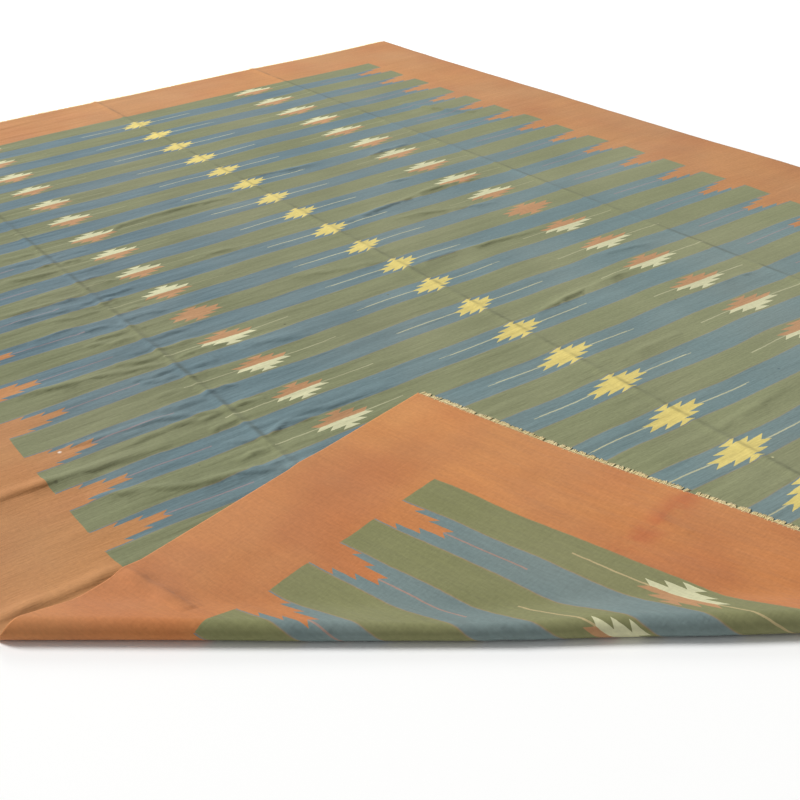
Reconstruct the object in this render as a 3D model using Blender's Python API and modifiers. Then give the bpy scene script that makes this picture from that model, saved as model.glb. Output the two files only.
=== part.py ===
"""A large cotton dhurrie rug that lies on the floor with one corner folded back over it.

Metres, +Z up. X runs along the rug's length, which is its warp, and Y across it, along its stripes,
which is its weft. The origin is on the floor under the middle of the rug. The corner at +X and -Y is
rolled up off the floor along a slanting line, and lies back on the rug with its underside up.

Each piece starts flat, as the cloth would lie if the corner were never folded. It is cut into strips
where it bends, and then each of its points is moved to where the folded cloth lies.
"""

import collections
import math

import bmesh
import bpy
from mathutils import Vector

# The cloth, laid flat
LENGTH = 4.800
WIDTH = 3.302
THICKNESS = 0.004
GAP = 0.0008  # air between the rug and the corner that lies on it
CELLS_ALONG = 24  # in the flat cloth
CELLS_ACROSS = 48

# The fold. A plain crease that carried the corner to the same place would be on the fold line.
FOLD_HEADING = math.radians(-38.17)  # from +X to the line's normal, which points off the rug
FOLD_DISTANCE = 1.907  # from the origin to the fold line
LOWER_RADIUS = 0.017  # of the bend where the cloth leaves the floor
RAMP_ANGLE = math.radians(20)  # slope of the cloth as it comes down behind the roll
LANDING_RADIUS = 0.120  # of the hollow bend where it comes to rest
DRAWN_IN_OVER = 0.40  # how far behind the fold line the cloth starts to be drawn in

# The roll along the fold line, from the rug's side edge to its end edge. along is measured from the
# foot of the normal through the origin, upper_radius is that of the roll's top, and drawn_in is how
# far the roll sits back from the fold line.
Station = collections.namedtuple("Station", "along upper_radius drawn_in")
ROLL = (
    Station(-0.60, 0.0240, 0.000),
    Station(0.00, 0.0195, 0.000),
    Station(0.30, 0.0150, 0.003),
    Station(0.70, 0.0225, 0.014),
    Station(1.00, 0.0225, 0.024),
    Station(1.46, 0.0200, 0.030),
)
BEND_STEP = 0.006  # width of the strips that the cloth is cut into round the roll
RAMP_STEP = 0.018  # and down the ramp behind it
BEND_RUN = 0.078  # length of cloth that goes round the roll
RAMP_RUN = 0.180  # length of cloth from there to where it lies flat again

# The ends and side edges wander, as those of a cloth laid down by hand do.
END_WANDER = 0.010  # of the flat end
SIDE_WANDER = 0.005
# At the other end the corner is skewed: it falls short of where the rest of that end lies.
CORNER_SKEW = 0.016
SKEW_ACROSS = -0.90
SKEW_WIDTH = 0.20

# The fringe, which is the ends of the warp
FRINGE_LENGTH = 0.020
FRINGE_UNEVEN = 0.004
FRINGE_THICKNESS = 0.0024
SPINE = 0.006  # width of the unbroken strip along the comb's root
TEETH = 110
ROOT_GAP = 0.0005

BORDER_ORANGE = (0.62, 0.27, 0.12, 1.0)
WARP_STRAW = (0.76, 0.68, 0.45, 1.0)

NORMAL = Vector((math.cos(FOLD_HEADING), math.sin(FOLD_HEADING)))
LINE = Vector((-NORMAL.y, NORMAL.x))
FLOOR_LEVEL = THICKNESS / 2
CORNER_LEVEL = THICKNESS * 1.5 + GAP


def ease(value):
    """A smooth step from 0 to 1."""
    value = min(max(value, 0.0), 1.0)
    return value * value * (3 - 2 * value)


def roll_at(along):
    """(upper radius, drawn in) at one place along the fold line."""
    before = ROLL[0]
    for after in ROLL[1:]:
        if along <= after.along:
            break
        before = after
    share = ease((along - before.along) / (after.along - before.along)) if after is not before else 1.0
    return (
        before.upper_radius + share * (after.upper_radius - before.upper_radius),
        before.drawn_in + share * (after.drawn_in - before.drawn_in),
    )


def fold_section(upper_radius):
    """The section of the fold as (length, turn) steps: two bends, a straight ramp and the landing."""
    turn_over = math.pi / 2 + RAMP_ANGLE
    top = FLOOR_LEVEL + LOWER_RADIUS + upper_radius * math.cos(RAMP_ANGLE)
    landing_drop = LANDING_RADIUS * (1 - math.cos(RAMP_ANGLE))
    ramp = (top - landing_drop - CORNER_LEVEL) / math.sin(RAMP_ANGLE)
    return (
        (LOWER_RADIUS * math.pi / 2, math.pi / 2),
        (upper_radius * turn_over, turn_over),
        (ramp, 0.0),
        (LANDING_RADIUS * RAMP_ANGLE, -RAMP_ANGLE),
    )


def walk(section, run):
    """(reach, rise) after following the section for a length of cloth."""
    reach = 0.0
    rise = FLOOR_LEVEL
    heading = 0.0
    for length, turn in section:
        part = min(run, length)
        swing = turn * part / length
        # The chord of an arc points halfway between its two headings.
        chord = part if turn == 0.0 else 2 * part / swing * math.sin(swing / 2) if swing else 0.0
        reach += chord * math.cos(heading + swing / 2)
        rise += chord * math.sin(heading + swing / 2)
        heading += swing
        run -= part
    return reach, rise


def folded(x, y):
    """Where a point of the flat cloth's middle surface comes to lie."""
    flat = Vector((x, y))
    out = flat.dot(NORMAL)
    along = flat.dot(LINE)
    upper_radius, drawn_in = roll_at(along)
    section = fold_section(upper_radius)
    whole_run = sum(length for length, _ in section)
    whole_reach, _ = walk(section, whole_run)
    lift_off = FOLD_DISTANCE - (whole_run + whole_reach) / 2
    run = out - lift_off
    if run > 0:
        reach, rise = walk(section, run)
        out = lift_off + reach - max(run - whole_run, 0.0)
    else:
        rise = FLOOR_LEVEL
    out -= drawn_in * ease((out - FOLD_DISTANCE + DRAWN_IN_OVER) / DRAWN_IN_OVER)
    place = NORMAL * out + LINE * along
    return Vector((place.x, place.y, rise))


def laid(x, y):
    """Where a point of the woven rectangle comes to lie on the floor before the corner is folded."""
    end = min(max(x / (LENGTH / 2), -1.0), 1.0)
    side = y / (WIDTH / 2)
    end_wave = END_WANDER * (math.sin(1.9 * y - 1.1) + 0.4 * math.sin(5.3 * y + 0.6))
    if end > 0:
        end_wave = CORNER_SKEW * (math.tanh((y - SKEW_ACROSS) / SKEW_WIDTH) - 0.4)
    side_wave = math.sin(1.7 * x + 0.5) + 0.5 * math.sin(4.1 * x)
    return x + abs(end) ** 3 * end_wave, y + SIDE_WANDER * side**3 * side_wave


def bend_lines():
    """Distances of the cuts along which the flat cloth bends, measured as the fold line's is."""
    start = FOLD_DISTANCE - 0.034
    bends = [start + BEND_STEP * n for n in range(round(BEND_RUN / BEND_STEP) + 1)]
    ramp_start = bends[-1]
    return bends + [ramp_start + RAMP_STEP * n for n in range(1, round(RAMP_RUN / RAMP_STEP) + 1)]


def fold_cloth(mesh):
    """Cuts a flat piece along the bend lines and moves its points to where they lie."""
    for distance in bend_lines():
        bmesh.ops.bisect_plane(
            mesh,
            geom=mesh.verts[:] + mesh.edges[:] + mesh.faces[:],
            dist=1e-6,
            plane_co=(NORMAL * distance).to_3d(),
            plane_no=NORMAL.to_3d(),
        )
    for vert in mesh.verts:
        vert.co = folded(*laid(vert.co.x, vert.co.y))


def cloth_object(name, mesh, thickness, material, collection):
    """An object with this middle surface, thickened evenly to both sides."""
    data = bpy.data.meshes.new(name)
    bmesh.ops.recalc_face_normals(mesh, faces=mesh.faces)
    mesh.to_mesh(data)
    mesh.free()
    data.materials.append(material)
    piece = bpy.data.objects.new(name, data)
    collection.objects.link(piece)
    shell = piece.modifiers.new("Thickness", "SOLIDIFY")
    shell.thickness = thickness
    shell.offset = 0.0
    shell.use_even_offset = True
    return piece


def make_rug(material, collection):
    mesh = bmesh.new()
    bmesh.ops.create_grid(
        mesh, x_segments=CELLS_ALONG, y_segments=CELLS_ACROSS, size=0.5
    )
    bmesh.ops.scale(mesh, vec=(LENGTH, WIDTH, 1), verts=mesh.verts)
    fold_cloth(mesh)
    return cloth_object("rug", mesh, THICKNESS, material, collection)


def make_fringe(name, end, material, collection):
    """One comb along an end of the rug, where end is -1 or 1: a narrow spine and a row of teeth."""
    mesh = bmesh.new()
    bmesh.ops.create_grid(mesh, x_segments=2, y_segments=2 * TEETH - 1, size=0.5)
    pitch = WIDTH / (2 * TEETH - 1)
    gaps = [
        face
        for face in mesh.faces
        if face.calc_center_median().x > 0
        and math.floor((face.calc_center_median().y + 0.5) * WIDTH / pitch) % 2 == 1
    ]
    bmesh.ops.delete(mesh, geom=gaps, context="FACES")
    root = LENGTH / 2 + ROOT_GAP
    for vert in mesh.verts:
        y = vert.co.y * WIDTH
        tooth = math.floor(y / (2 * pitch) + 0.25)
        tip = root + FRINGE_LENGTH + FRINGE_UNEVEN * math.sin(2.7 * tooth) * math.sin(0.31 * tooth)
        x = root if vert.co.x < -0.25 else root + SPINE if vert.co.x < 0.25 else tip
        vert.co = (end * x, y, 0)
    fold_cloth(mesh)
    return cloth_object(name, mesh, FRINGE_THICKNESS, material, collection)


def make_material(name, colour):
    material = bpy.data.materials.new(name)
    material.use_nodes = True
    shader = material.node_tree.nodes["Principled BSDF"]
    shader.inputs["Base Color"].default_value = colour
    shader.inputs["Roughness"].default_value = 0.9
    shader.inputs["Metallic"].default_value = 0.0
    return material


def main():
    for item in list(bpy.data.objects):
        bpy.data.objects.remove(item, do_unlink=True)
    collection = bpy.data.collections.new("dhurrie_rug")
    bpy.context.scene.collection.children.link(collection)
    cotton = make_material("woven_cotton", BORDER_ORANGE)
    warp = make_material("warp_ends", WARP_STRAW)
    make_rug(cotton, collection)
    make_fringe("fringe_far", -1, warp, collection)
    make_fringe("fringe_near", 1, warp, collection)


main()
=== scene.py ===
"""The looks of a large cotton dhurrie rug that lies with one corner folded back over it.

Metres, +Z up. X runs along the rug's length, which is its warp, and Y across it, along its stripes,
which is its weft. The origin is on the floor under the middle of the rug.

The cloth and its fringes start flat. Each point then goes where the folded cloth lies, by the same
steps that shape the solids, and on top of that come the ridges and soft hollows of cloth that was
stored folded. The woven design is worked out by the material from the cloth's own flat measures.
"""

import collections
import functools
import math
import random

import bmesh
import bpy
import numpy as np
from mathutils import Matrix, Vector, noise


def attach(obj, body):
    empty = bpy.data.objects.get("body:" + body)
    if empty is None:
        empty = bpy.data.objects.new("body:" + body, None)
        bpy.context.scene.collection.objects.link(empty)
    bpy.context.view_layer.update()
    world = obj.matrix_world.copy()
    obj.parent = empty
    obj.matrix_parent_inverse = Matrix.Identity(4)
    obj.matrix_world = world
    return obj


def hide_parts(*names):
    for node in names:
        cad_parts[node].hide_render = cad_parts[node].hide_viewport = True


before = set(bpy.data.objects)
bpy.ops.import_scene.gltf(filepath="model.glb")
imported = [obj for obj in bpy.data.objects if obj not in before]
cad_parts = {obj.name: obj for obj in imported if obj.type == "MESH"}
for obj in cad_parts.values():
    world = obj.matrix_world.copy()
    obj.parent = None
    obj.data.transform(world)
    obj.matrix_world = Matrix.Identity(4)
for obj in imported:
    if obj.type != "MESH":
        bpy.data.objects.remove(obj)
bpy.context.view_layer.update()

# The cloth, laid flat
LENGTH = 4.800
WIDTH = 3.302
THICKNESS = 0.004
GAP = 0.0008  # air between the rug and the corner that lies on it

# The fold. A plain crease that carried the corner to the same place would be on the fold line.
FOLD_HEADING = math.radians(-38.17)  # from +X to the line's normal, which points off the rug
FOLD_DISTANCE = 1.907  # from the origin to the fold line
LOWER_RADIUS = 0.017  # of the bend where the cloth leaves the floor
RAMP_ANGLE = math.radians(20)  # slope of the cloth as it comes down behind the roll
LANDING_RADIUS = 0.120  # of the hollow bend where it comes to rest
DRAWN_IN_OVER = 0.40  # how far behind the fold line the cloth starts to be drawn in

# The roll along the fold line, from the rug's side edge to its end edge. along is measured from the
# foot of the normal through the origin, upper_radius is that of the roll's top, and drawn_in is how
# far the roll sits back from the fold line.
Station = collections.namedtuple("Station", "along upper_radius drawn_in")
ROLL = (
    Station(-0.60, 0.0240, 0.000),
    Station(0.00, 0.0195, 0.000),
    Station(0.30, 0.0150, 0.003),
    Station(0.70, 0.0225, 0.014),
    Station(1.00, 0.0225, 0.024),
    Station(1.46, 0.0200, 0.030),
)
BEND_STEP = 0.006  # width of the strips that the cloth is cut into round the roll
RAMP_STEP = 0.018  # and down the ramp behind it
BEND_RUN = 0.078  # length of cloth that goes round the roll
RAMP_RUN = 0.180  # length of cloth from there to where it lies flat again
CORNER_STARTS = FOLD_DISTANCE + 0.06  # cloth past this distance lies with its underside up

# The ends and side edges wander, as those of a cloth laid down by hand do.
END_WANDER = 0.010  # of the flat end
SIDE_WANDER = 0.005
# At the other end the corner is skewed: it falls short of where the rest of that end lies.
CORNER_SKEW = 0.016
SKEW_ACROSS = -0.90
SKEW_WIDTH = 0.20

# The mesh of the cloth
CELL = 0.040  # size of a cell, away from the ridges
HALVINGS = 3  # of the cells along the ridges
SLIVER = 0.0012  # a cut that passes a point this closely takes it in, and leaves no sliver
HEM = 0.003  # a narrow row of cells inside each edge, which keeps the edge crisp

# Where the cloth was folded for storage: straight lines along its length, each now a low ridge that
# rises from its -Y side and drops on its +Y side.
StorageFold = collections.namedtuple("StorageFold", "across height rise drop")
STORAGE_FOLDS = (
    StorageFold(-0.864, 0.0048, 0.020, 0.018),
    StorageFold(0.010, 0.0048, 0.020, 0.020),
    StorageFold(0.852, 0.0042, 0.018, 0.020),
)

# Small ridges where the loose cloth has rucked up, mostly along the weft. A ridge drops steeply on
# its +X side, within a width of drop, and slopes gently on the other. Its path gives places along
# and across the flat cloth, in the order of +Y.
Ridge = collections.namedtuple("Ridge", "drop height path")
RIDGES = (
    Ridge(0.015, 0.0065, ((0.745, -1.32), (0.80, -1.19), (0.85, -1.11), (0.875, -1.00), (0.94, -0.86))),
    Ridge(0.020, 0.0080, ((0.605, -1.64), (0.612, -1.50), (0.625, -1.36), (0.638, -1.25), (0.65, -1.05))),
    Ridge(0.013, 0.0035, ((0.590, -1.22), (0.583, -1.05), (0.572, -0.92), (0.590, -0.86))),
    Ridge(0.013, 0.0050, ((0.500, -1.27), (0.515, -1.12), (0.523, -1.02), (0.548, -0.96), (0.58, -0.90))),
    Ridge(0.015, 0.0040, ((0.770, -0.84), (0.737, -0.79), (0.727, -0.72), (0.745, -0.65), (0.748, -0.46))),
    Ridge(0.022, 0.0080, ((1.045, -1.66), (1.05, -1.52), (1.048, -1.34))),
    Ridge(0.022, 0.0045, ((0.28, -0.66), (0.315, -0.60), (0.33, -0.55), (0.35, -0.47))),
    Ridge(0.014, 0.0055, ((0.150, -1.34), (0.165, -1.25), (0.185, -1.15), (0.205, -1.05), (0.248, -0.88))),
    Ridge(0.011, 0.0028, ((-0.095, -1.00), (-0.09, -0.93), (-0.06, -0.88), (0.00, -0.83))),
    Ridge(0.011, 0.0028, ((-0.115, -1.15), (-0.137, -1.07), (-0.147, -1.00), (-0.15, -0.93))),
    Ridge(0.013, 0.0042, ((-0.36, -1.17), (-0.347, -1.00), (-0.33, -0.91))),
    Ridge(0.011, 0.0030, ((-0.30, -1.14), (-0.27, -0.97), (-0.245, -0.89))),
    Ridge(0.012, 0.0028, ((-0.60, -1.08), (-0.59, -0.97), (-0.58, -0.86))),
    Ridge(0.012, 0.0028, ((-0.80, -1.02), (-0.785, -0.88))),
    Ridge(
        0.015, 0.0055, ((-0.79, -0.60), (-0.825, -0.55), (-0.837, -0.43), (-0.825, -0.18), (-0.80, -0.08))
    ),
    Ridge(0.013, 0.0035, ((-0.39, -0.48), (-0.372, -0.38), (-0.355, -0.26))),
    Ridge(0.018, 0.0035, ((-0.03, -0.31), (0.01, -0.20), (0.035, -0.10), (0.06, -0.01))),
    Ridge(0.014, 0.0048, ((0.168, 0.00), (0.150, 0.10), (0.150, 0.20), (0.167, 0.29), (0.19, 0.57))),
    Ridge(0.014, 0.0035, ((-0.235, 0.18), (-0.20, 0.32), (-0.165, 0.42), (-0.105, 0.60))),
    Ridge(0.014, 0.0062, ((-0.312, 0.08), (-0.335, 0.24), (-0.372, 0.50), (-0.366, 0.60), (-0.345, 0.73))),
    Ridge(0.012, 0.0028, ((-0.545, 0.40), (-0.53, 0.52))),
    Ridge(0.013, 0.0050, ((-0.85, 0.53), (-0.866, 0.62), (-0.872, 0.74))),
    Ridge(0.016, 0.0048, ((-0.97, 0.03), (-0.945, 0.14), (-0.930, 0.25), (-0.925, 0.35))),
    Ridge(0.018, 0.0065, ((-1.38, 1.05), (-1.30, 1.075), (-1.20, 1.11), (-1.12, 1.15), (-1.03, 1.21))),
    Ridge(0.012, 0.0060, ((0.668, 0.11), (0.658, 0.20), (0.643, 0.32), (0.636, 0.45), (0.634, 0.56))),
    Ridge(0.014, 0.0030, ((0.47, 0.50), (0.49, 0.60), (0.507, 0.70), (0.522, 0.78))),
    Ridge(0.014, 0.0030, ((1.045, 0.08), (1.032, 0.22), (1.026, 0.34))),
    Ridge(0.013, 0.0032, ((0.875, 0.62), (0.878, 0.72), (0.885, 0.80))),
    Ridge(0.014, 0.0028, ((1.45, 0.02), (1.43, 0.18), (1.42, 0.32))),
)
# Ridges of the folded corner alone, on its underside, which lies uppermost
CORNER_RIDGES = (
    Ridge(0.022, 0.0120, ((1.433, -1.66), (1.433, -1.56), (1.430, -1.42))),
    Ridge(0.013, 0.0030, ((2.285, -0.95), (2.275, -0.86), (2.268, -0.78))),
)
RISE_SHARE = 2.0  # width of a ridge's gentle side, as a multiple of its steep side's

# Little ridges that run off both sides of the first storage fold, where the cloth was creased. The
# pairs are the least and the most.
CRINKLES = 44
CRINKLES_FROM = -0.75
CRINKLES_TO = 0.95
CRINKLE_START = (-0.02, 0.02)  # across, from the fold
CRINKLE_REACH = (0.06, 0.17)
CRINKLE_BEND = (-0.012, 0.012)  # of its middle, off a straight line
CRINKLE_SLANT = (-0.35, 0.10)
CRINKLE_DROP = (0.010, 0.015)
CRINKLE_HEIGHT = (0.0018, 0.0045)

# The broad, soft waves of the cloth: how high, and how far apart each way
Swell = collections.namedtuple("Swell", "height along across")
SWELLS = (
    Swell(0.0030, 0.55, 0.35),
    Swell(0.0026, 0.15, 0.40),
)

# The woven design, from the middle of the cloth
GREEN = 0.108  # width of a green stripe
BLUE = 0.096
PERIOD = GREEN + BLUE
STRIPES_END = 10 * PERIOD + GREEN / 2
GREEN_REACH = 1.354  # from the middle to where the side border starts
SIDE_MOTIF = 0.652  # from the middle to the centre of each side diamond

# Outlines in steps like saw teeth. Each step takes up width of the stripe, on either side of its
# middle. The outline starts at first, changes by step with each step, and leans by lean within it.
Outline = collections.namedtuple("Outline", "width first step lean")
BORDER_TEETH = Outline(0.0147, 1.199, 0.052, -0.018)  # as a distance from the middle of the cloth
MIDDLE_DIAMOND = Outline(0.0147, 0.078, -0.037, 0.025)  # as half the width of the motif
SIDE_DIAMOND = Outline(0.0155, 0.083, -0.037, 0.023)
WANDER = 0.026  # how widely the woven lines wander in slow waves
SHAKE = 0.0022  # and how widely they shake

# Thin lines. Each reach is from the middle of the cloth or of a side diamond.
THIN_LINE = 0.0022  # half the width of a line
MIDDLE_LINE_REACH = 0.238
LINE_UNEVEN = 0.045  # how much longer the longest of them is than the shortest
PINK_LINE_FROM = 0.965
EDGE_LINE = 0.0035  # half the width of the blurred line where two stripes meet

# How far the design has drifted from where it was meant to be, in millimetres, because the cloth was
# woven and laid by hand: sideways in five places across the cloth, and lengthwise in three.
Drift = collections.namedtuple(
    "Drift", "along edge_left left middle right edge_right end_left end_middle end_right"
)
DRIFTS = (
    Drift(-2.4, 0, -8, 12, 8, -10, 22, 22, 20),
    Drift(-1.2, -6, -16, 12, -12, -10, 20, 20, 16),
    Drift(-0.2, -10, -18, 8, -18, 12, 12, 8, 8),
    Drift(0.5, -11, -14, 8, -22, 6, 8, 2, 2),
    Drift(1.2, 2, -10, -2, -30, 0, 4, 2, 4),
    Drift(2.0, 2, -28, -4, -16, 0, 12, 20, 8),
    Drift(2.4, 2, -28, -4, -16, 0, 12, 26, 10),
)
DRIFT_PLACES = (-GREEN_REACH, -SIDE_MOTIF, 0.0, SIDE_MOTIF, GREEN_REACH)

# The fringe, which is the ends of the warp, in small bunches of yarns
FRINGE_LENGTH = 0.020
YARN_RADIUS = 0.0019
YARN_PITCH = 0.0016
YARNS_IN_BUNCH = (4, 5, 6, 8)
YARN_SIDES = 5
YARN_CUTS = 3
YARN_ROOT = 0.004  # length of yarn inside the cloth's end
YARN_FLATNESS = 0.7  # height of a yarn as a share of its width
DROOP = 0.0008  # how far a yarn's tip lies below its root, on the floor and then on the rug
CORNER_DROOP = 0.0016
TORN_ACROSS = -0.862  # where the near fringe has a gap
TORN_HALF_WIDTH = 0.009
TORN_LENGTH = 0.25  # of the yarns there, as a share of the others'
BUNCH_LEAN = 0.0030  # how far the tips of a bunch stray together
BUNCH_GATHER = 0.6  # width of a bunch at its tips, as a share of that at its roots
YARN_STRAY = 0.0012  # how far a single yarn strays from its bunch
YARN_RISE = (-0.0003, 0.0012)  # at its root, above the cloth's middle
# The least and the most, as shares of the usual
BUNCH_LENGTHS = (0.78, 1.0)
YARN_LENGTHS = (0.88, 1.08)
YARN_RADII = (0.8, 1.2)

NORMAL = Vector((math.cos(FOLD_HEADING), math.sin(FOLD_HEADING)))
LINE = Vector((-NORMAL.y, NORMAL.x))
FLOOR_LEVEL = THICKNESS / 2
CORNER_LEVEL = THICKNESS * 1.5 + GAP


# Camera, light and floor

SENSOR = 36.0  # in mm, as the lens is
LENS = 54.46
CAMERA_PLACE = (3.1076, -1.9873, 1.5689)
CAMERA_HEADING = math.radians(146.64)
CAMERA_PITCH = math.radians(-29.86)
CAMERA_ROLL = math.radians(-3.13)
FLOOR_REACH = 150  # from the middle of the floor to each side
FLOOR_DROP = 0.0004  # air under the cloth, so that the two don't share a surface
WALL_RADIUS = 90
WALL_HEIGHT = 90
WHITE = "FBFBFA"


def make_camera():
    """A standing viewer's look down over the folded corner, along the rug's other diagonal."""
    data = bpy.data.cameras.new("camera")
    data.sensor_width = SENSOR
    data.lens = LENS
    camera = bpy.data.objects.new("camera", data)
    bpy.context.scene.collection.objects.link(camera)
    turn = (
        Matrix.Rotation(CAMERA_HEADING - math.pi / 2, 4, "Z")
        @ Matrix.Rotation(math.pi / 2 + CAMERA_PITCH, 4, "X")
        @ Matrix.Rotation(CAMERA_ROLL, 4, "Z")
    )
    camera.matrix_world = Matrix.Translation(CAMERA_PLACE) @ turn
    bpy.context.scene.camera = camera


def add_light(name, kind, energy, towards, **settings):
    """A light at a distance in the direction of towards, which faces the middle of the rug."""
    data = bpy.data.lights.new(name, kind)
    data.energy = energy
    for setting, value in settings.items():
        setattr(data, setting, value)
    light = bpy.data.objects.new(name, data)
    bpy.context.scene.collection.objects.link(light)
    light.location = towards
    light.rotation_mode = "QUATERNION"
    light.rotation_quaternion = Vector(towards).to_track_quat("Z", "Y")


def make_light():
    """Soft light that comes in low over the rug's far end, and an even white surround."""
    world = bpy.data.worlds.new("studio")
    bpy.context.scene.world = world
    world.use_nodes = True
    background = world.node_tree.nodes["Background"]
    background.inputs["Color"].default_value = linear("FFFFFF")
    background.inputs["Strength"].default_value = 0.34
    add_light("key", "SUN", energy=3.62, towards=(-0.80, -0.58, 0.64), angle=math.radians(18))
    add_light("window", "AREA", energy=75.0, towards=(-4.5, 0.5, 3.4), shape="DISK", size=2.0)
    bpy.context.scene.view_settings.view_transform = "Standard"


def make_piece(name, mesh, *materials):
    """An object with this finished mesh and these materials. The bmesh is used up."""
    data = bpy.data.meshes.new(name)
    mesh.to_mesh(data)
    mesh.free()
    for material in materials:
        data.materials.append(material)
    piece = bpy.data.objects.new(name, data)
    bpy.context.scene.collection.objects.link(piece)
    return piece


def make_floor():
    """A plain pale floor that reaches past the wall."""
    mesh = bmesh.new()
    bmesh.ops.create_grid(mesh, x_segments=1, y_segments=1, size=FLOOR_REACH)
    bmesh.ops.translate(mesh, vec=(0, 0, -FLOOR_DROP), verts=mesh.verts)
    material, _, shader = new_material("white_paper_floor", roughness=0.9, specular=0.1)
    shader.inputs["Base Color"].default_value = linear(WHITE)
    make_piece("floor", mesh, material)


def make_backdrop():
    """A white wall far round the rug, which is seen but lights nothing."""
    mesh = bmesh.new()
    bmesh.ops.create_cone(
        mesh, segments=48, radius1=WALL_RADIUS, radius2=WALL_RADIUS, depth=WALL_HEIGHT, cap_ends=True
    )
    material, _, shader = new_material("white_backdrop", roughness=0.5, specular=0.0)
    shader.inputs["Base Color"].default_value = linear("000000")
    shader.inputs["Emission Color"].default_value = linear(WHITE)
    shader.inputs["Emission Strength"].default_value = 1.0
    backdrop = make_piece("backdrop", mesh, material)
    backdrop.visible_diffuse = False
    backdrop.visible_glossy = False
    backdrop.visible_shadow = False


# The shape of the folded cloth


def ease(value):
    """A smooth step from 0 to 1."""
    value = min(max(value, 0.0), 1.0)
    return value * value * (3 - 2 * value)


def roll_at(along):
    """(upper radius, drawn in) at one place along the fold line."""
    before = ROLL[0]
    for after in ROLL[1:]:
        if along <= after.along:
            break
        before = after
    share = 1.0
    if after is not before:
        share = ease((along - before.along) / (after.along - before.along))
    return (
        before.upper_radius + share * (after.upper_radius - before.upper_radius),
        before.drawn_in + share * (after.drawn_in - before.drawn_in),
    )


def fold_section(upper_radius):
    """The section of the fold as (length, turn) steps: two bends, a straight ramp and the landing."""
    turn_over = math.pi / 2 + RAMP_ANGLE
    top = FLOOR_LEVEL + LOWER_RADIUS + upper_radius * math.cos(RAMP_ANGLE)
    landing_drop = LANDING_RADIUS * (1 - math.cos(RAMP_ANGLE))
    ramp = (top - landing_drop - CORNER_LEVEL) / math.sin(RAMP_ANGLE)
    return (
        (LOWER_RADIUS * math.pi / 2, math.pi / 2),
        (upper_radius * turn_over, turn_over),
        (ramp, 0.0),
        (LANDING_RADIUS * RAMP_ANGLE, -RAMP_ANGLE),
    )


def walk(section, run):
    """(reach, rise, heading) after following the section for a length of cloth."""
    reach = 0.0
    rise = FLOOR_LEVEL
    heading = 0.0
    for length, turn in section:
        part = min(run, length)
        swing = turn * part / length
        # The chord of an arc points halfway between its two headings.
        chord = part
        if swing:
            chord = 2 * part / swing * math.sin(swing / 2)
        reach += chord * math.cos(heading + swing / 2)
        rise += chord * math.sin(heading + swing / 2)
        heading += swing
        run -= part
    return reach, rise, heading


def folded(x, y, lift=0.0):
    """Where a point that is lift above the flat cloth's middle surface comes to lie."""
    flat = Vector((x, y))
    out = flat.dot(NORMAL)
    along = flat.dot(LINE)
    upper_radius, drawn_in = roll_at(along)
    section = fold_section(upper_radius)
    whole_run = sum(length for length, _ in section)
    whole_reach, _, _ = walk(section, whole_run)
    lift_off = FOLD_DISTANCE - (whole_run + whole_reach) / 2
    run = out - lift_off
    heading = 0.0
    rise = FLOOR_LEVEL
    if run > 0:
        reach, rise, heading = walk(section, run)
        out = lift_off + reach - max(run - whole_run, 0.0)
    out -= drawn_in * ease((out - FOLD_DISTANCE + DRAWN_IN_OVER) / DRAWN_IN_OVER)
    place = NORMAL * (out - lift * math.sin(heading)) + LINE * along
    return Vector((place.x, place.y, rise + lift * math.cos(heading)))


def laid(x, y):
    """Where a point of the woven rectangle comes to lie on the floor before the corner is folded."""
    end = min(max(x / (LENGTH / 2), -1.0), 1.0)
    side = y / (WIDTH / 2)
    end_wave = END_WANDER * (math.sin(1.9 * y - 1.1) + 0.4 * math.sin(5.3 * y + 0.6))
    if end > 0:
        end_wave = CORNER_SKEW * (math.tanh((y - SKEW_ACROSS) / SKEW_WIDTH) - 0.4)
    side_wave = math.sin(1.7 * x + 0.5) + 0.5 * math.sin(4.1 * x)
    return x + abs(end) ** 3 * end_wave, y + SIDE_WANDER * side**3 * side_wave


def near_path(points, path):
    """(distance, share) for each point: how far it is from a path, and how far along the path. The
    distance is positive on the path's +X side, if the path runs towards +Y."""
    closest = np.full(len(points), np.inf)
    share = np.zeros(len(points))
    total = sum(math.dist(start, end) for start, end in zip(path, path[1:]))
    walked = 0.0
    for start, end in zip(path, path[1:]):
        run = np.subtract(end, start)
        length = math.dist(start, end)
        from_start = points - start
        part = np.clip(from_start @ run / length**2, 0, 1)
        away = np.hypot(*(from_start - part[:, None] * run).T)
        away = np.where(from_start[:, 0] * run[1] < from_start[:, 1] * run[0], -away, away)
        closer = np.abs(away) < np.abs(closest)
        closest[closer] = away[closer]
        share[closer] = (walked + part * length)[closer] / total
        walked += length
    return closest, share


def ridge_heights(points, ridges):
    """Height of the ridges at each point. A ridge tapers to its ends and is uneven on the way."""
    height = np.zeros(len(points))
    for order, ridge in enumerate(ridges):
        wavy = points.copy()
        wavy[:, 0] += 0.0022 * np.sin(31 * points[:, 1] + 1.3 * order)
        wavy[:, 0] += 0.0012 * np.sin(83 * points[:, 1] + 2.1 * order)
        away, share = near_path(wavy, ridge.path)
        width = np.where(away > 0, ridge.drop, RISE_SHARE * ridge.drop)
        section = np.clip(1 - (away / width) ** 2, 0, None) ** 2
        taper = np.clip(4 * share * (1 - share), 0, None) ** 0.5
        uneven = 0.98 + 0.20 * np.sin(11 * share + 2.3 * order)
        height += ridge.height * section * taper * uneven
    return height


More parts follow.
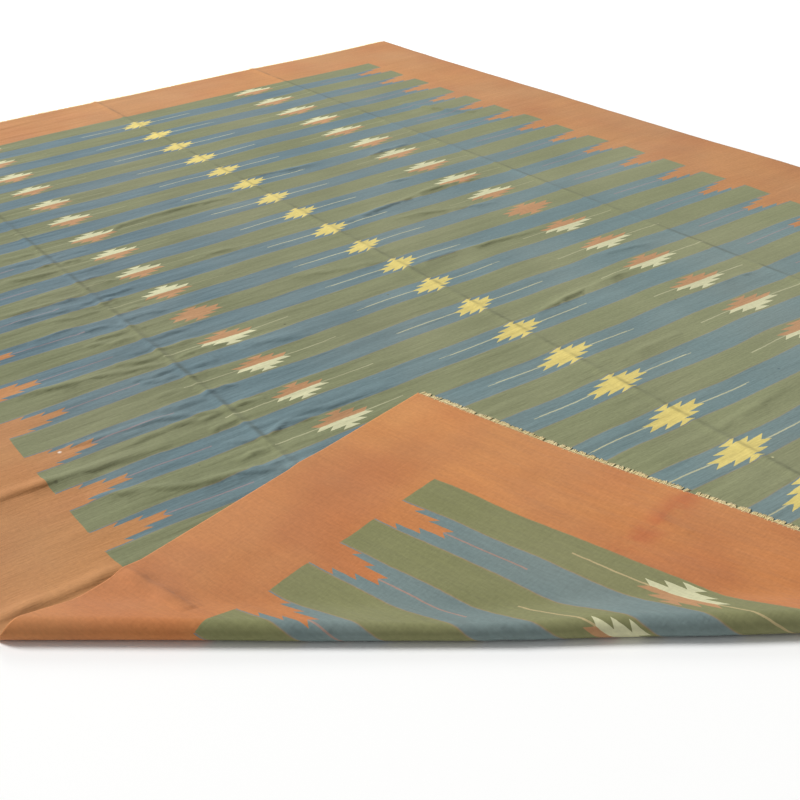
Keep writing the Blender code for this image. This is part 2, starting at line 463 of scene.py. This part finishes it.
def storage_heights(points):
    """Height at each point of the low ridges where the cloth was folded for storage."""
    height = np.zeros(len(points))
    for order, fold in enumerate(STORAGE_FOLDS):
        off = points[:, 1] - fold.across + 0.0015 * np.sin(23 * points[:, 0] + order)
        slope = np.where(off < 0, 1 + off / fold.rise, 1 - off / fold.drop)
        uneven = 0.78 + 0.22 * np.sin(2.9 * points[:, 0] + 1.7 * order)
        uneven = uneven + 0.15 * np.sin(13 * points[:, 0])
        height += fold.height * np.clip(slope, 0, None) ** 1.2 * uneven
    return height


def crinkles():
    """The little ridges at the first storage fold, on either side of it."""
    rng = random.Random(5)
    ridges = []
    for order in range(CRINKLES):
        share = (order + rng.random()) / CRINKLES
        x = CRINKLES_FROM + share * (CRINKLES_TO - CRINKLES_FROM)
        start = STORAGE_FOLDS[0].across + rng.uniform(*CRINKLE_START)
        reach = rng.uniform(*CRINKLE_REACH)
        bend = rng.uniform(*CRINKLE_BEND)
        slant = rng.uniform(*CRINKLE_SLANT)
        if order % 2:
            path = ((x, start), (x + 0.5 * slant * reach + bend, start + reach / 2), (x, start + reach))
        else:
            path = ((x + slant * reach, start - reach), (x + bend, start - reach / 2), (x, start))
        ridges.append(Ridge(rng.uniform(*CRINKLE_DROP), rng.uniform(*CRINKLE_HEIGHT), path))
    return tuple(ridges)


def swell_heights(points):
    """Height of the broad, soft waves at each point."""
    height = np.zeros(len(points))
    for order, swell in enumerate(SWELLS):
        spots = points / (swell.along, swell.across)
        seen = np.array([noise.noise(Vector((x, y, 7.3 * order))) for x, y in spots])
        height += swell.height * np.clip(0.3 + 0.5 * seen, 0, None)
    return height


def relief(points):
    """How far the cloth rises off the floor at each point, wherever it isn't rolled or folded."""
    ridges = ridge_heights(points, RIDGES + crinkles())
    return ridges + storage_heights(points) + swell_heights(points)


def settle(mesh, flat):
    """Lifts a folded piece by the relief under it. flat holds its points' places on the flat cloth."""
    places = np.array([vert.co.xy for vert in mesh.verts])
    lifts = relief(places)
    on_corner = flat @ np.array(NORMAL) > CORNER_STARTS
    lifts[on_corner] += ridge_heights(flat[on_corner], CORNER_RIDGES)
    for vert, lift in zip(mesh.verts, lifts):
        vert.co.z += lift


# The rug


def bend_lines():
    """Distances of the cuts along which the flat cloth bends, measured as the fold line's is."""
    start = FOLD_DISTANCE - 0.034
    bends = [start + BEND_STEP * n for n in range(round(BEND_RUN / BEND_STEP) + 1)]
    ramp_start = bends[-1]
    return bends + [ramp_start + RAMP_STEP * n for n in range(1, round(RAMP_RUN / RAMP_STEP) + 1)]


def cut(mesh, place, direction):
    """Cuts the flat cloth along a straight line through place, square to direction."""
    bmesh.ops.bisect_plane(
        mesh,
        geom=mesh.verts[:] + mesh.edges[:] + mesh.faces[:],
        dist=SLIVER,
        plane_co=Vector(place).to_3d(),
        plane_no=Vector(direction).to_3d(),
        use_snap_center=True,
    )


def refine(mesh, ridges):
    """Halves the cells of the flat cloth near the ridges, again and again towards their crests."""
    for level in range(HALVINGS):
        mesh.verts.index_update()
        points = np.array([vert.co.xy for vert in mesh.verts])
        near = np.zeros(len(points), bool)
        margin = CELL / 2**level
        for ridge in ridges:
            away, _ = near_path(points, ridge.path)
            steep_side = away < ridge.drop + 0.6 * margin
            gentle_side = away > -0.6 * RISE_SHARE * ridge.drop - margin
            near |= steep_side & gentle_side
        edges = [edge for edge in mesh.edges if all(near[vert.index] for vert in edge.verts)]
        bmesh.ops.subdivide_edges(mesh, edges=edges, cuts=1, use_grid_fill=True)


def drift_at(x, y):
    """(lengthwise, sideways) drift of the design, in metres, at a place on the flat cloth."""
    stations = [drift.along for drift in DRIFTS]
    sideways = []
    lengthwise = []
    for name in Drift._fields[1:6]:
        sideways.append(np.interp(x, stations, [getattr(drift, name) for drift in DRIFTS]))
    for name in Drift._fields[6:]:
        lengthwise.append(np.interp(x, stations, [getattr(drift, name) for drift in DRIFTS]))
    return (
        np.interp(y, (-WIDTH / 2, 0, WIDTH / 2), lengthwise) / 1000,
        np.interp(y, DRIFT_PLACES, sideways) / 1000,
    )


def map_design(mesh, flat):
    """Writes each point's place on the flat cloth to one UV map, and its place in the design, which
    has drifted, to another."""
    flat_layer = mesh.loops.layers.uv.new("flat")
    layer = mesh.loops.layers.uv.new("design")
    design = []
    for x, y in flat:
        lengthwise, sideways = drift_at(x, y)
        design.append((x - lengthwise, y - sideways))
    for face in mesh.faces:
        for loop in face.loops:
            loop[flat_layer].uv = flat[loop.vert.index]
            loop[layer].uv = design[loop.vert.index]


def make_rug(face, back):
    """The woven cloth: one sheet with the face dyes above and the back's richer ones beneath."""
    mesh = bmesh.new()
    bmesh.ops.create_grid(
        mesh, x_segments=round(LENGTH / CELL), y_segments=round(WIDTH / CELL), size=0.5
    )
    bmesh.ops.scale(mesh, vec=(LENGTH, WIDTH, 1), verts=mesh.verts)
    refine(mesh, RIDGES + CORNER_RIDGES + crinkles())
    for side in (-1, 1):
        cut(mesh, (side * (LENGTH / 2 - HEM), 0), (1, 0))
        cut(mesh, (0, side * (WIDTH / 2 - HEM)), (0, 1))
    for fold in STORAGE_FOLDS:
        for off in (-fold.rise, -0.45 * fold.rise, 0.0, 0.45 * fold.drop, fold.drop):
            cut(mesh, (0, fold.across + off), (0, 1))
    for distance in bend_lines():
        cut(mesh, NORMAL * distance, NORMAL)
    mesh.verts.index_update()
    flat = np.array([vert.co.xy for vert in mesh.verts])
    map_design(mesh, flat)
    for vert in mesh.verts:
        vert.co = folded(*laid(vert.co.x, vert.co.y))
    settle(mesh, flat)
    for polygon in mesh.faces:
        polygon.smooth = True
    cloth = make_piece("woven_cloth", mesh, face, back)
    shell = cloth.modifiers.new("Thickness", "SOLIDIFY")
    shell.thickness = THICKNESS
    shell.offset = 0.0
    shell.material_offset = 1
    return cloth


# The fringes


def yarn_stock():
    """A straight yarn of unit radius and length, standing on the origin."""
    yarn = bmesh.new()
    bmesh.ops.create_cone(
        yarn, cap_ends=True, segments=YARN_SIDES, radius1=1.0, radius2=0.75, depth=1.0
    )
    bmesh.ops.translate(yarn, vec=(0, 0, 0.5), verts=yarn.verts)
    lengthways = [edge for edge in yarn.edges if abs(edge.verts[0].co.z - edge.verts[1].co.z) > 0.5]
    bmesh.ops.subdivide_edges(yarn, edges=lengthways, cuts=YARN_CUTS, use_grid_fill=True)
    stock = bpy.data.meshes.new("yarn_stock")
    yarn.to_mesh(stock)
    yarn.free()
    return stock


Yarn = collections.namedtuple("Yarn", "root tip length curl radius rise")


def plan_yarns(end, rng):
    """The yarns along one end of the cloth, in bunches that lean together. root and tip are places
    across the cloth."""
    yarns = []
    across = -WIDTH / 2 + 2 * YARN_RADIUS
    while across < WIDTH / 2 - 6 * YARN_PITCH:
        count = rng.choice(YARNS_IN_BUNCH)
        middle = across + YARN_PITCH * (count - 1) / 2
        lean = rng.gauss(0, BUNCH_LEAN)
        length = FRINGE_LENGTH * rng.uniform(*BUNCH_LENGTHS)
        torn = end > 0 and abs(middle - TORN_ACROSS) < TORN_HALF_WIDTH
        for n in range(count):
            root = across + YARN_PITCH * n
            tip = middle + lean + BUNCH_GATHER * (root - middle) + rng.gauss(0, YARN_STRAY)
            own = length * rng.uniform(*YARN_LENGTHS) * (TORN_LENGTH if torn else 1.0)
            radius = YARN_RADIUS * rng.uniform(*YARN_RADII)
            curl = rng.gauss(0, YARN_STRAY)
            rise = rng.uniform(*YARN_RISE)
            yarns.append(Yarn(root, tip, own, curl, radius, rise))
        across += YARN_PITCH * count + rng.uniform(-0.0006, 0.0006)
    return yarns


def lay_yarn(verts, end, yarn):
    """Moves a fresh yarn's points to where it lies, and gives their places on the flat cloth. It
    leaves the cloth's end level with it and droops to what lies below."""
    points = []
    for vert in verts:
        share = vert.co.z
        out = LENGTH / 2 - YARN_ROOT + share * (yarn.length + YARN_ROOT)
        across = yarn.root + (yarn.tip - yarn.root) * share**1.3 + yarn.curl * math.sin(math.pi * share)
        x, y = laid(end * out, across + yarn.radius * vert.co.x)
        place = folded(x, y, YARN_FLATNESS * yarn.radius * vert.co.y)
        droop = CORNER_DROOP if NORMAL.dot((x, y)) > CORNER_STARTS else DROOP
        place.z += yarn.rise - (droop + yarn.rise) * ease(1.3 * share)
        points.append((x, y))
        vert.co = place
    return points


def make_fringe(name, end, seed, material):
    """The yarns along one end of the cloth, where end is -1 or 1, as one piece."""
    yarns = plan_yarns(end, random.Random(seed))
    stock = yarn_stock()
    mesh = bmesh.new()
    for _ in yarns:
        mesh.from_mesh(stock)
    verts = list(mesh.verts)
    each = len(verts) // len(yarns)
    flat = []
    for order, yarn in enumerate(yarns):
        flat += lay_yarn(verts[order * each : (order + 1) * each], end, yarn)
    settle(mesh, np.array(flat))
    for face in mesh.faces:
        face.smooth = True
    bmesh.ops.recalc_face_normals(mesh, faces=mesh.faces)
    fringe = make_piece(name, mesh, material)
    bpy.data.meshes.remove(stock)
    return fringe


# Materials


def linear(colour):
    """The linear colour of an sRGB hex value."""
    channels = [int(colour[n : n + 2], 16) / 255 for n in (0, 2, 4)]
    return (*(c / 12.92 if c <= 0.04045 else ((c + 0.055) / 1.055) ** 2.4 for c in channels), 1.0)


def new_material(name, roughness, specular):
    """(material, node tree, shader) of a new material."""
    material = bpy.data.materials.new(name)
    material.use_nodes = True
    shader = material.node_tree.nodes["Principled BSDF"]
    shader.inputs["Roughness"].default_value = roughness
    shader.inputs["Specular IOR Level"].default_value = specular
    return material, material.node_tree, shader


def node(tree, kind, inputs=(), **settings):
    """Adds a shader node with these settings, and gives its inputs values or links them.

    inputs is a list for the first sockets, or a dictionary by a socket's name or number. A link may
    come from a socket, or from a node, which stands for its first output.
    """
    made = tree.nodes.new("ShaderNode" + kind)
    for name, value in settings.items():
        setattr(made, name, value)
    for name, value in inputs.items() if isinstance(inputs, dict) else enumerate(inputs):
        if isinstance(value, bpy.types.Node):
            value = value.outputs[0]
        if isinstance(value, bpy.types.NodeSocket):
            tree.links.new(value, made.inputs[name])
        else:
            made.inputs[name].default_value = value
    return made


Dyes = collections.namedtuple(
    "Dyes",
    "orange red_orange green pale_green blue pale_blue yellow cream coral pale_line pink_line edge_line",
)
FACE_DYES = Dyes(
    orange="B78151",
    red_orange="B07349",
    green="787C5B",
    pale_green="828663",
    blue="5F757D",
    pale_blue="6D8283",
    yellow="D7C472",
    cream="CCCAA3",
    coral="B58860",
    pale_line="BDBB97",
    pink_line="A08081",
    edge_line="98876E",
)
BACK_DYES = FACE_DYES._replace(
    orange="CB8A51",
    red_orange="B97445",
    green="7F8057",
    pale_green="7F8057",
    blue="718281",
    pale_blue="718281",
    pale_line="D3B98A",
    pink_line="B98470",
    edge_line="A9855F",
)

DUST = "B5AB92"
# Colour of the painted shade past the crests of the storage folds, on their side away from the light
FOLD_SHADE = "45482F"
BLEED = "B5623F"
STRAW = "DABE78"
PALE_STRAW = "F0E3B6"

# Marks of use on the cloth: where they are, how large and of what colour
Mark = collections.namedtuple("Mark", "along across radius colour")
MARKS = (
    Mark(0.507, -1.287, 0.0065, "EFE0D2"),
    Mark(1.607, 0.030, 0.0040, "D8D2A2"),
    Mark(0.638, -1.345, 0.0060, "5F6148"),
    Mark(0.490, -1.212, 0.0040, "4F626B"),
    Mark(0.784, -1.043, 0.0040, "6A6C52"),
    Mark(1.336, 0.376, 0.0050, "55696F"),
    Mark(0.279, -0.148, 0.0050, "6A6C52"),
    Mark(0.251, -0.497, 0.0050, "5F6148"),
    Mark(0.864, 0.483, 0.0050, "6A6C52"),
)
STAIN_ACROSS = -0.858  # a red bleed along the storage fold, at the folded corner's end border
STAIN_STARTS = 2.10

# Streaks and clouds of lighter and darker colour: their size along and across the cloth, how fine
# their detail is, and how much they change the shade
Shading = collections.namedtuple("Shading", "along across detail spread")
SHADINGS = (
    Shading(0.009, 0.30, 2.0, 0.13),  # uneven yarn along the weft, drawn 9 mm wide so that it shows
    Shading(0.045, 0.35, 2.0, 0.11),  # bands of wefts dyed together
    Shading(0.280, 0.25, 3.0, 0.22),  # wear
    Shading(0.007, 0.012, 1.0, 0.20),  # the grain of the weave, drawn 7 mm coarse so that it shows
)


def woven_cotton(name, dyes, fold_shading, reddening):
    """Matt weft-faced cotton flatweave. Hand-dyed yarns make each colour run in faint streaks along
    the weft, wear and dust cloud it, and the hidden warps raise low ribs along the length.

    The third argument is how strongly painted shade shows past the crests of the storage folds, on their
    side away from the light. reddening is how much redder the orange is away from the corner at +X and -Y.
    """
    material, tree, shader = new_material(name, roughness=0.95, specular=0.15)
    add = functools.partial(node, tree)

    # The place in the design, with the unevenness of hand weaving: slow waves about 360 mm long,
    # and small shakes about 22 mm long
    flat = add("UVMap", uv_map="flat")
    flat_place = add("SeparateXYZ", [flat])
    flat_along = flat_place.outputs["X"]
    flat_across = flat_place.outputs["Y"]
    design = add("UVMap", uv_map="design")
    wavering = add("TexNoise", {"Vector": design, "Scale": 2.8, "Detail": 1.0}, noise_dimensions="2D")
    jitter = add("TexNoise", {"Vector": design, "Scale": 45.0, "Detail": 1.0}, noise_dimensions="2D")
    wander = add("VectorMath", [wavering.outputs["Color"], (0.5, 0.5, 0.5)], operation="SUBTRACT")
    shake = add("VectorMath", [jitter.outputs["Color"], (0.5, 0.5, 0.5)], operation="SUBTRACT")
    wander = add("VectorMath", {0: wander, "Scale": WANDER}, operation="SCALE")
    shake = add("VectorMath", {0: shake, "Scale": SHAKE}, operation="SCALE")
    moved = add("VectorMath", [design, wander], operation="ADD")
    moved = add("VectorMath", [moved, shake], operation="ADD")
    place = add("SeparateXYZ", [moved])
    along = place.outputs["X"]
    across = add("Math", [place.outputs["Y"]], operation="ABSOLUTE")

    # Stripes: each green one has a number, and off is how far a place is from its middle
    row = add("Math", [along, PERIOD], operation="DIVIDE")
    row = add("Math", [row], operation="ROUND")
    off = add("Math", [row, -PERIOD, along], operation="MULTIPLY_ADD")
    off_green = add("Math", [off], operation="ABSOLUTE")
    off_blue = add("Math", [PERIOD / 2, off_green], operation="SUBTRACT")
    in_blue = add("Math", [off_blue, BLUE / 2], operation="LESS_THAN")
    in_green = add("Math", [1.0, in_blue], operation="SUBTRACT")
    length_noise = add("TexWhiteNoise", {"W": row}, noise_dimensions="1D")

    def stepped(distance, outline):
        """How far the outline reaches, at a distance from the middle of its stripe."""
        steps = add("Math", [distance, outline.width], operation="DIVIDE")
        whole = add("Math", [steps], operation="FLOOR")
        part = add("Math", [steps], operation="FRACT")
        reach = add("Math", [whole, outline.step, outline.first], operation="MULTIPLY_ADD")
        return add("Math", [part, outline.lean, reach], operation="MULTIPLY_ADD")

    def both(*masks):
        """Where all the masks hold."""
        return functools.reduce(lambda a, b: add("Math", [a, b], operation="MULTIPLY"), masks)

    # The border's teeth reach into the blue stripes
    tooth = stepped(off_blue, BORDER_TEETH)
    tooth_past_green = add("Math", [tooth, GREEN_REACH], operation="SUBTRACT")
    reach = add("Math", [tooth_past_green, in_blue, GREEN_REACH], operation="MULTIPLY_ADD")
    side_border = add("Math", [across, reach], operation="GREATER_THAN")
    end_border = add("Math", [along], operation="ABSOLUTE")
    end_border = add("Math", [end_border, STRIPES_END], operation="GREATER_THAN")
    border = add("Math", [side_border, end_border], operation="MAXIMUM")

    # Yellow diamonds in the middle of the blue stripes. Towards one end of the cloth they are
    # broader and straighter.
    broad = add("MapRange", {"Value": along, 1: 0.55, 2: 0.90, 3: 0.0, 4: 1.0})
    blue_row = add("Math", [along, PERIOD], operation="DIVIDE")
    blue_row = add("Math", [blue_row], operation="FLOOR")
    from_blue = add("Math", [blue_row, -PERIOD, along], operation="MULTIPLY_ADD")
    from_blue = add("Math", [from_blue, PERIOD / 2], operation="SUBTRACT")
    slant = add("Math", [broad, -0.09, 0.17], operation="MULTIPLY_ADD")
    slanting = add("Math", [place.outputs["Y"], slant, from_blue], operation="MULTIPLY_ADD")
    slanting = add("Math", [slanting], operation="ABSOLUTE")
    size = add("Math", [broad, 0.26, 0.77], operation="MULTIPLY_ADD")
    half_width = stepped(slanting, MIDDLE_DIAMOND)
    half_width = add("Math", [half_width, size], operation="MULTIPLY")
    yellow = both(in_blue, add("Math", [across, half_width], operation="LESS_THAN"))

    # A pair of diamonds at the sides of each green stripe, cream in the half that faces the cloth's
    # end. Those on the -Y side are smaller.
    left = add("Math", [place.outputs["Y"], 0.0], operation="LESS_THAN")
    smaller = add("MapRange", {"Value": along, 1: 0.8, 2: 2.0, 3: -0.21, 4: -0.06})
    size = add("Math", [left, smaller, 1.0], operation="MULTIPLY_ADD")
    from_side = add("Math", [across, SIDE_MOTIF], operation="SUBTRACT")
    from_side = add("Math", [from_side], operation="ABSOLUTE")
    half_width = stepped(off_green, SIDE_DIAMOND)
    half_width = add("Math", [half_width, size], operation="MULTIPLY")
    side_motif = both(in_green, add("Math", [from_side, half_width], operation="LESS_THAN"))
    outer_half = add("Math", [off, row], operation="MULTIPLY")
    outer_half = add("Math", [outer_half, 1e-4], operation="GREATER_THAN")
    cream = both(side_motif, outer_half)

    # Thin lines run on from the tips of the diamonds and of the teeth
    spare = add("Math", [length_noise.outputs["Value"], LINE_UNEVEN], operation="MULTIPLY")
    line_end = add("Math", [spare, MIDDLE_LINE_REACH], operation="ADD")
    longer = add("MapRange", {"Value": along, 1: 1.1, 2: 1.9, 3: 0.190, 4: 0.240})
    side_line_end = add("Math", [spare, longer], operation="ADD")
    on_blue_middle = add("Math", [off_blue, THIN_LINE], operation="LESS_THAN")
    on_green_middle = add("Math", [off_green, THIN_LINE], operation="LESS_THAN")
    near_middle = add("Math", [across, line_end], operation="LESS_THAN")
    middle_line = both(in_blue, on_blue_middle, near_middle)
    near_side = add("Math", [from_side, side_line_end], operation="LESS_THAN")
    side_line = both(in_green, on_green_middle, near_side)
    not_middle_row = add("Math", [row], operation="ABSOLUTE")
    not_middle_row = add("Math", [not_middle_row, 0.5], operation="GREATER_THAN")
    seen = add("MapRange", {"Value": along, 1: -0.4, 2: 0.7, 3: 0.30, 4: 0.7})
    side_line = both(side_line, not_middle_row, seen)
    pale_line = add("Math", [middle_line, side_line], operation="MAXIMUM")
    near_teeth = add("Math", [across, PINK_LINE_FROM], operation="GREATER_THAN")
    pink_line = both(in_blue, on_blue_middle, near_teeth)
    edge_line = add("Math", [off_green, GREEN / 2], operation="SUBTRACT")
    edge_line = add("Math", [edge_line], operation="ABSOLUTE")
    edge_line = add("MapRange", {"Value": edge_line, 1: EDGE_LINE, 2: 0.0})

    # The dyes. Orange runs redder in patches about 310 mm wide.
    patches = add("TexNoise", {"Vector": flat, "Scale": 3.2, "Detail": 3.0}, noise_dimensions="2D")
    patches = add("MapRange", {"Value": patches, 1: 0.40, 2: 0.75, 3: 0.0, 4: 0.6})
    redder = add("MapRange", {"Value": flat_across, 1: -1.5, 2: -0.7, 3: 0.0, 4: reddening})
    inner = add("MapRange", {"Value": flat_along, 1: 2.25, 2: 1.95, 3: 0.0, 4: reddening})
    redder = add("Math", [redder, inner], operation="MAXIMUM")
    patches = add("Math", [patches, redder], operation="ADD", use_clamp=True)
    orange = {0: patches, 6: linear(dyes.orange), 7: linear(dyes.red_orange)}
    orange = add("Mix", orange, data_type="RGBA")
    # The stripes' yarns come from several dye lots, which run paler from one corner to the other
    lot = add("VectorMath", [flat, (0.5, 0.5, 0)], operation="DOT_PRODUCT").outputs["Value"]
    lot = add("MapRange", {"Value": lot, 1: -0.6, 2: 0.6})
    green = add("Mix", {0: lot, 6: linear(dyes.green), 7: linear(dyes.pale_green)}, data_type="RGBA")
    blue = add("Mix", {0: lot, 6: linear(dyes.blue), 7: linear(dyes.pale_blue)}, data_type="RGBA")
    colour = green.outputs[2]
    for mask, strength, dye in (
        (in_blue, 1.0, blue.outputs[2]),
        (edge_line, 0.45, linear(dyes.edge_line)),
        (pink_line, 0.55, linear(dyes.pink_line)),
        (pale_line, 0.85, linear(dyes.pale_line)),
        (side_motif, 1.0, linear(dyes.coral)),
        (cream, 1.0, linear(dyes.cream)),
        (yellow, 1.0, linear(dyes.yellow)),
        (border, 1.0, orange.outputs[2]),
    ):
        share = add("Math", [mask, strength], operation="MULTIPLY")
        colour = add("Mix", {0: share, 6: colour, 7: dye}, data_type="RGBA").outputs[2]

    # Streaks, clouds and grain
    shade = 1.0
    for shading in SHADINGS:
        scale = (1 / shading.along, 1 / shading.across, 1)
        streaks = {"Vector": add("Mapping", {"Vector": flat, "Scale": scale}), "Scale": 1.0}
        streaks["Detail"] = shading.detail
        streaks = add("TexNoise", streaks, noise_dimensions="2D")
        change = [streaks, shading.spread, 1 - shading.spread / 2]
        change = add("Math", change, operation="MULTIPLY_ADD")
        shade = add("Math", [shade, change], operation="MULTIPLY")
    colour = add("VectorMath", {0: colour, "Scale": shade}, operation="SCALE").outputs[0]

    # Dust that greys the colours in clouds about 480 mm wide
    dust = add("TexNoise", {"Vector": flat, "Scale": 2.1, "Detail": 4.0}, noise_dimensions="2D")
    dust = add("MapRange", {"Value": dust, 1: 0.35, 2: 0.75, 3: 0.0, 4: 0.10})
    colour = add("Mix", {0: dust, 6: colour, 7: linear(DUST)}, data_type="RGBA").outputs[2]

    # Painted shade in the storage folds, past their crests on the side away from the light, in patches
    # about 90 mm long
    ragged = add("TexNoise", {"Vector": flat, "Scale": 11.0, "Detail": 3.0}, noise_dimensions="2D")
    patchy = add("MapRange", {"Value": ragged, 1: 0.38, 2: 0.66, 3: 0.10, 4: 1.0})
    for fold in STORAGE_FOLDS:
        past = add("Math", [flat_across, -fold.across], operation="ADD")
        past = add("Math", [ragged, 0.010, past], operation="MULTIPLY_ADD")
        fold_shade = add("Math", [past, 0.015], operation="SUBTRACT")
        fold_shade = add("Math", [fold_shade], operation="ABSOLUTE")
        fold_shade = add("MapRange", {"Value": fold_shade, 1: 0.012, 2: 0.0}, interpolation_type="SMOOTHSTEP")
        fold_shade = both(fold_shade, patchy, fold_shading)
        colour = add("Mix", {0: fold_shade, 6: colour, 7: linear(FOLD_SHADE)}, data_type="RGBA").outputs[2]

    # The bleed along the storage fold at the folded corner, in blotches about 60 mm wide
    bleed = add("Math", [flat_across, STAIN_ACROSS], operation="SUBTRACT")
    bleed = add("Math", [bleed], operation="ABSOLUTE")
    bleed = add("MapRange", {"Value": bleed, 1: 0.055, 2: 0.0}, interpolation_type="SMOOTHSTEP")
    blotch = add("TexNoise", {"Vector": flat, "Scale": 16.0, "Detail": 3.0}, noise_dimensions="2D")
    blotch = add("MapRange", {"Value": blotch, 1: 0.30, 2: 0.55})
    started = add("MapRange", {"Value": flat_along, 1: STAIN_STARTS, 2: STAIN_STARTS + 0.06})
    bleed = both(bleed, blotch, started, 0.55)
    colour = add("Mix", {0: bleed, 6: colour, 7: linear(BLEED)}, data_type="RGBA").outputs[2]

    # Specks and flecks
    for mark in MARKS:
        away = add("VectorMath", [flat, (mark.along, mark.across, 0)], operation="DISTANCE")
        away = away.outputs["Value"]
        fleck = add("MapRange", {"Value": away, 1: mark.radius, 2: 0.4 * mark.radius, 4: 0.85})
        colour = add("Mix", {0: fleck, 6: colour, 7: linear(mark.colour)}, data_type="RGBA").outputs[2]

    # Relief of the weave: uneven wefts over faint ribs where the warps lie. Wefts are drawn 5 mm
    # wide and warps 6 mm apart, coarser than real ones, so that they show.
    wefts = add("Mapping", {"Vector": flat, "Scale": (1 / 0.005, 1 / 0.04, 1)})
    wefts = add("TexNoise", {"Vector": wefts, "Scale": 1.0, "Detail": 2.0}, noise_dimensions="2D")
    warps = add("Mapping", {"Vector": flat, "Scale": (1 / 0.03, 1 / 0.006, 1)})
    warps = add("TexNoise", {"Vector": warps, "Scale": 1.0, "Detail": 1.0}, noise_dimensions="2D")
    height = add("Math", [warps, 0.5, wefts], operation="MULTIPLY_ADD")
    bump = add("Bump", {"Height": height, "Strength": 0.6, "Distance": 0.0012})

    # Faint rucks about 55 mm apart along the weft, too low and too many to model. Most are on the
    # -Y side, though not at its edge.
    rucks = add("Mapping", {"Vector": flat, "Scale": (1 / 0.055, 1 / 0.32, 1)})
    rucks = add("TexNoise", {"Vector": rucks, "Scale": 1.0, "Detail": 2.0}, noise_dimensions="2D")
    rucked = add("MapRange", {"Value": flat_across, 1: 0.5, 2: -0.7, 3: 0.30, 4: 1.0})
    smoother = add("MapRange", {"Value": flat_across, 1: -1.45, 2: -1.2, 3: 0.2, 4: 1.0})
    rucks = both(rucks, rucked, smoother)
    bump = add("Bump", {"Height": rucks, "Strength": 1.0, "Distance": 0.0070, "Normal": bump})

    tree.links.new(colour, shader.inputs["Base Color"])
    tree.links.new(bump.outputs[0], shader.inputs["Normal"])
    shader.inputs["Sheen Weight"].default_value = 0.08
    shader.inputs["Sheen Roughness"].default_value = 0.5
    return material


def warp_cotton(name):
    """Undyed cotton yarn: a dull straw colour, dirtier in places, with the twist of its plies. The
    dirt comes in clouds about 110 mm wide, and the grain of the yarn is about 3 mm long."""
    material, tree, shader = new_material(name, roughness=0.92, specular=0.2)
    add = functools.partial(node, tree)
    where = add("TexCoord").outputs["Object"]
    clouds = add("TexNoise", {"Vector": where, "Scale": 9.0, "Detail": 3.0})
    grain = add("TexNoise", {"Vector": where, "Scale": 350.0, "Detail": 1.0})
    colour = add("Mix", {0: clouds, 6: linear(STRAW), 7: linear(PALE_STRAW)}, data_type="RGBA")
    shade = add("Math", [grain, 0.35, 0.82], operation="MULTIPLY_ADD")
    colour = add("VectorMath", {0: colour.outputs[2], "Scale": shade}, operation="SCALE")
    twist = add("TexWave", {"Vector": where, "Scale": 260.0, "Distortion": 1.0})
    bump = add("Bump", {"Height": twist, "Strength": 0.3, "Distance": 0.0006})
    tree.links.new(colour.outputs[0], shader.inputs["Base Color"])
    tree.links.new(bump.outputs[0], shader.inputs["Normal"])
    shader.inputs["Sheen Weight"].default_value = 0.15
    return material


make_camera()
make_light()
make_floor()
make_backdrop()

warp = warp_cotton("undyed_cotton_warp")
cloth = make_rug(
    woven_cotton("dhurrie_cotton_face", FACE_DYES, fold_shading=0.34, reddening=0.0),
    woven_cotton("dhurrie_cotton_back", BACK_DYES, fold_shading=0.05, reddening=0.65),
)
far_fringe = make_fringe("warp_ends_far", end=-1, seed=11, material=warp)
near_fringe = make_fringe("warp_ends_near", end=1, seed=23, material=warp)

for piece, solid, finish in (
    (cloth, "rug", "woven_cotton"),
    (far_fringe, "fringe_far", "warp_ends"),
    (near_fringe, "fringe_near", "warp_ends"),
):
    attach(piece, "root")
    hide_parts(solid)
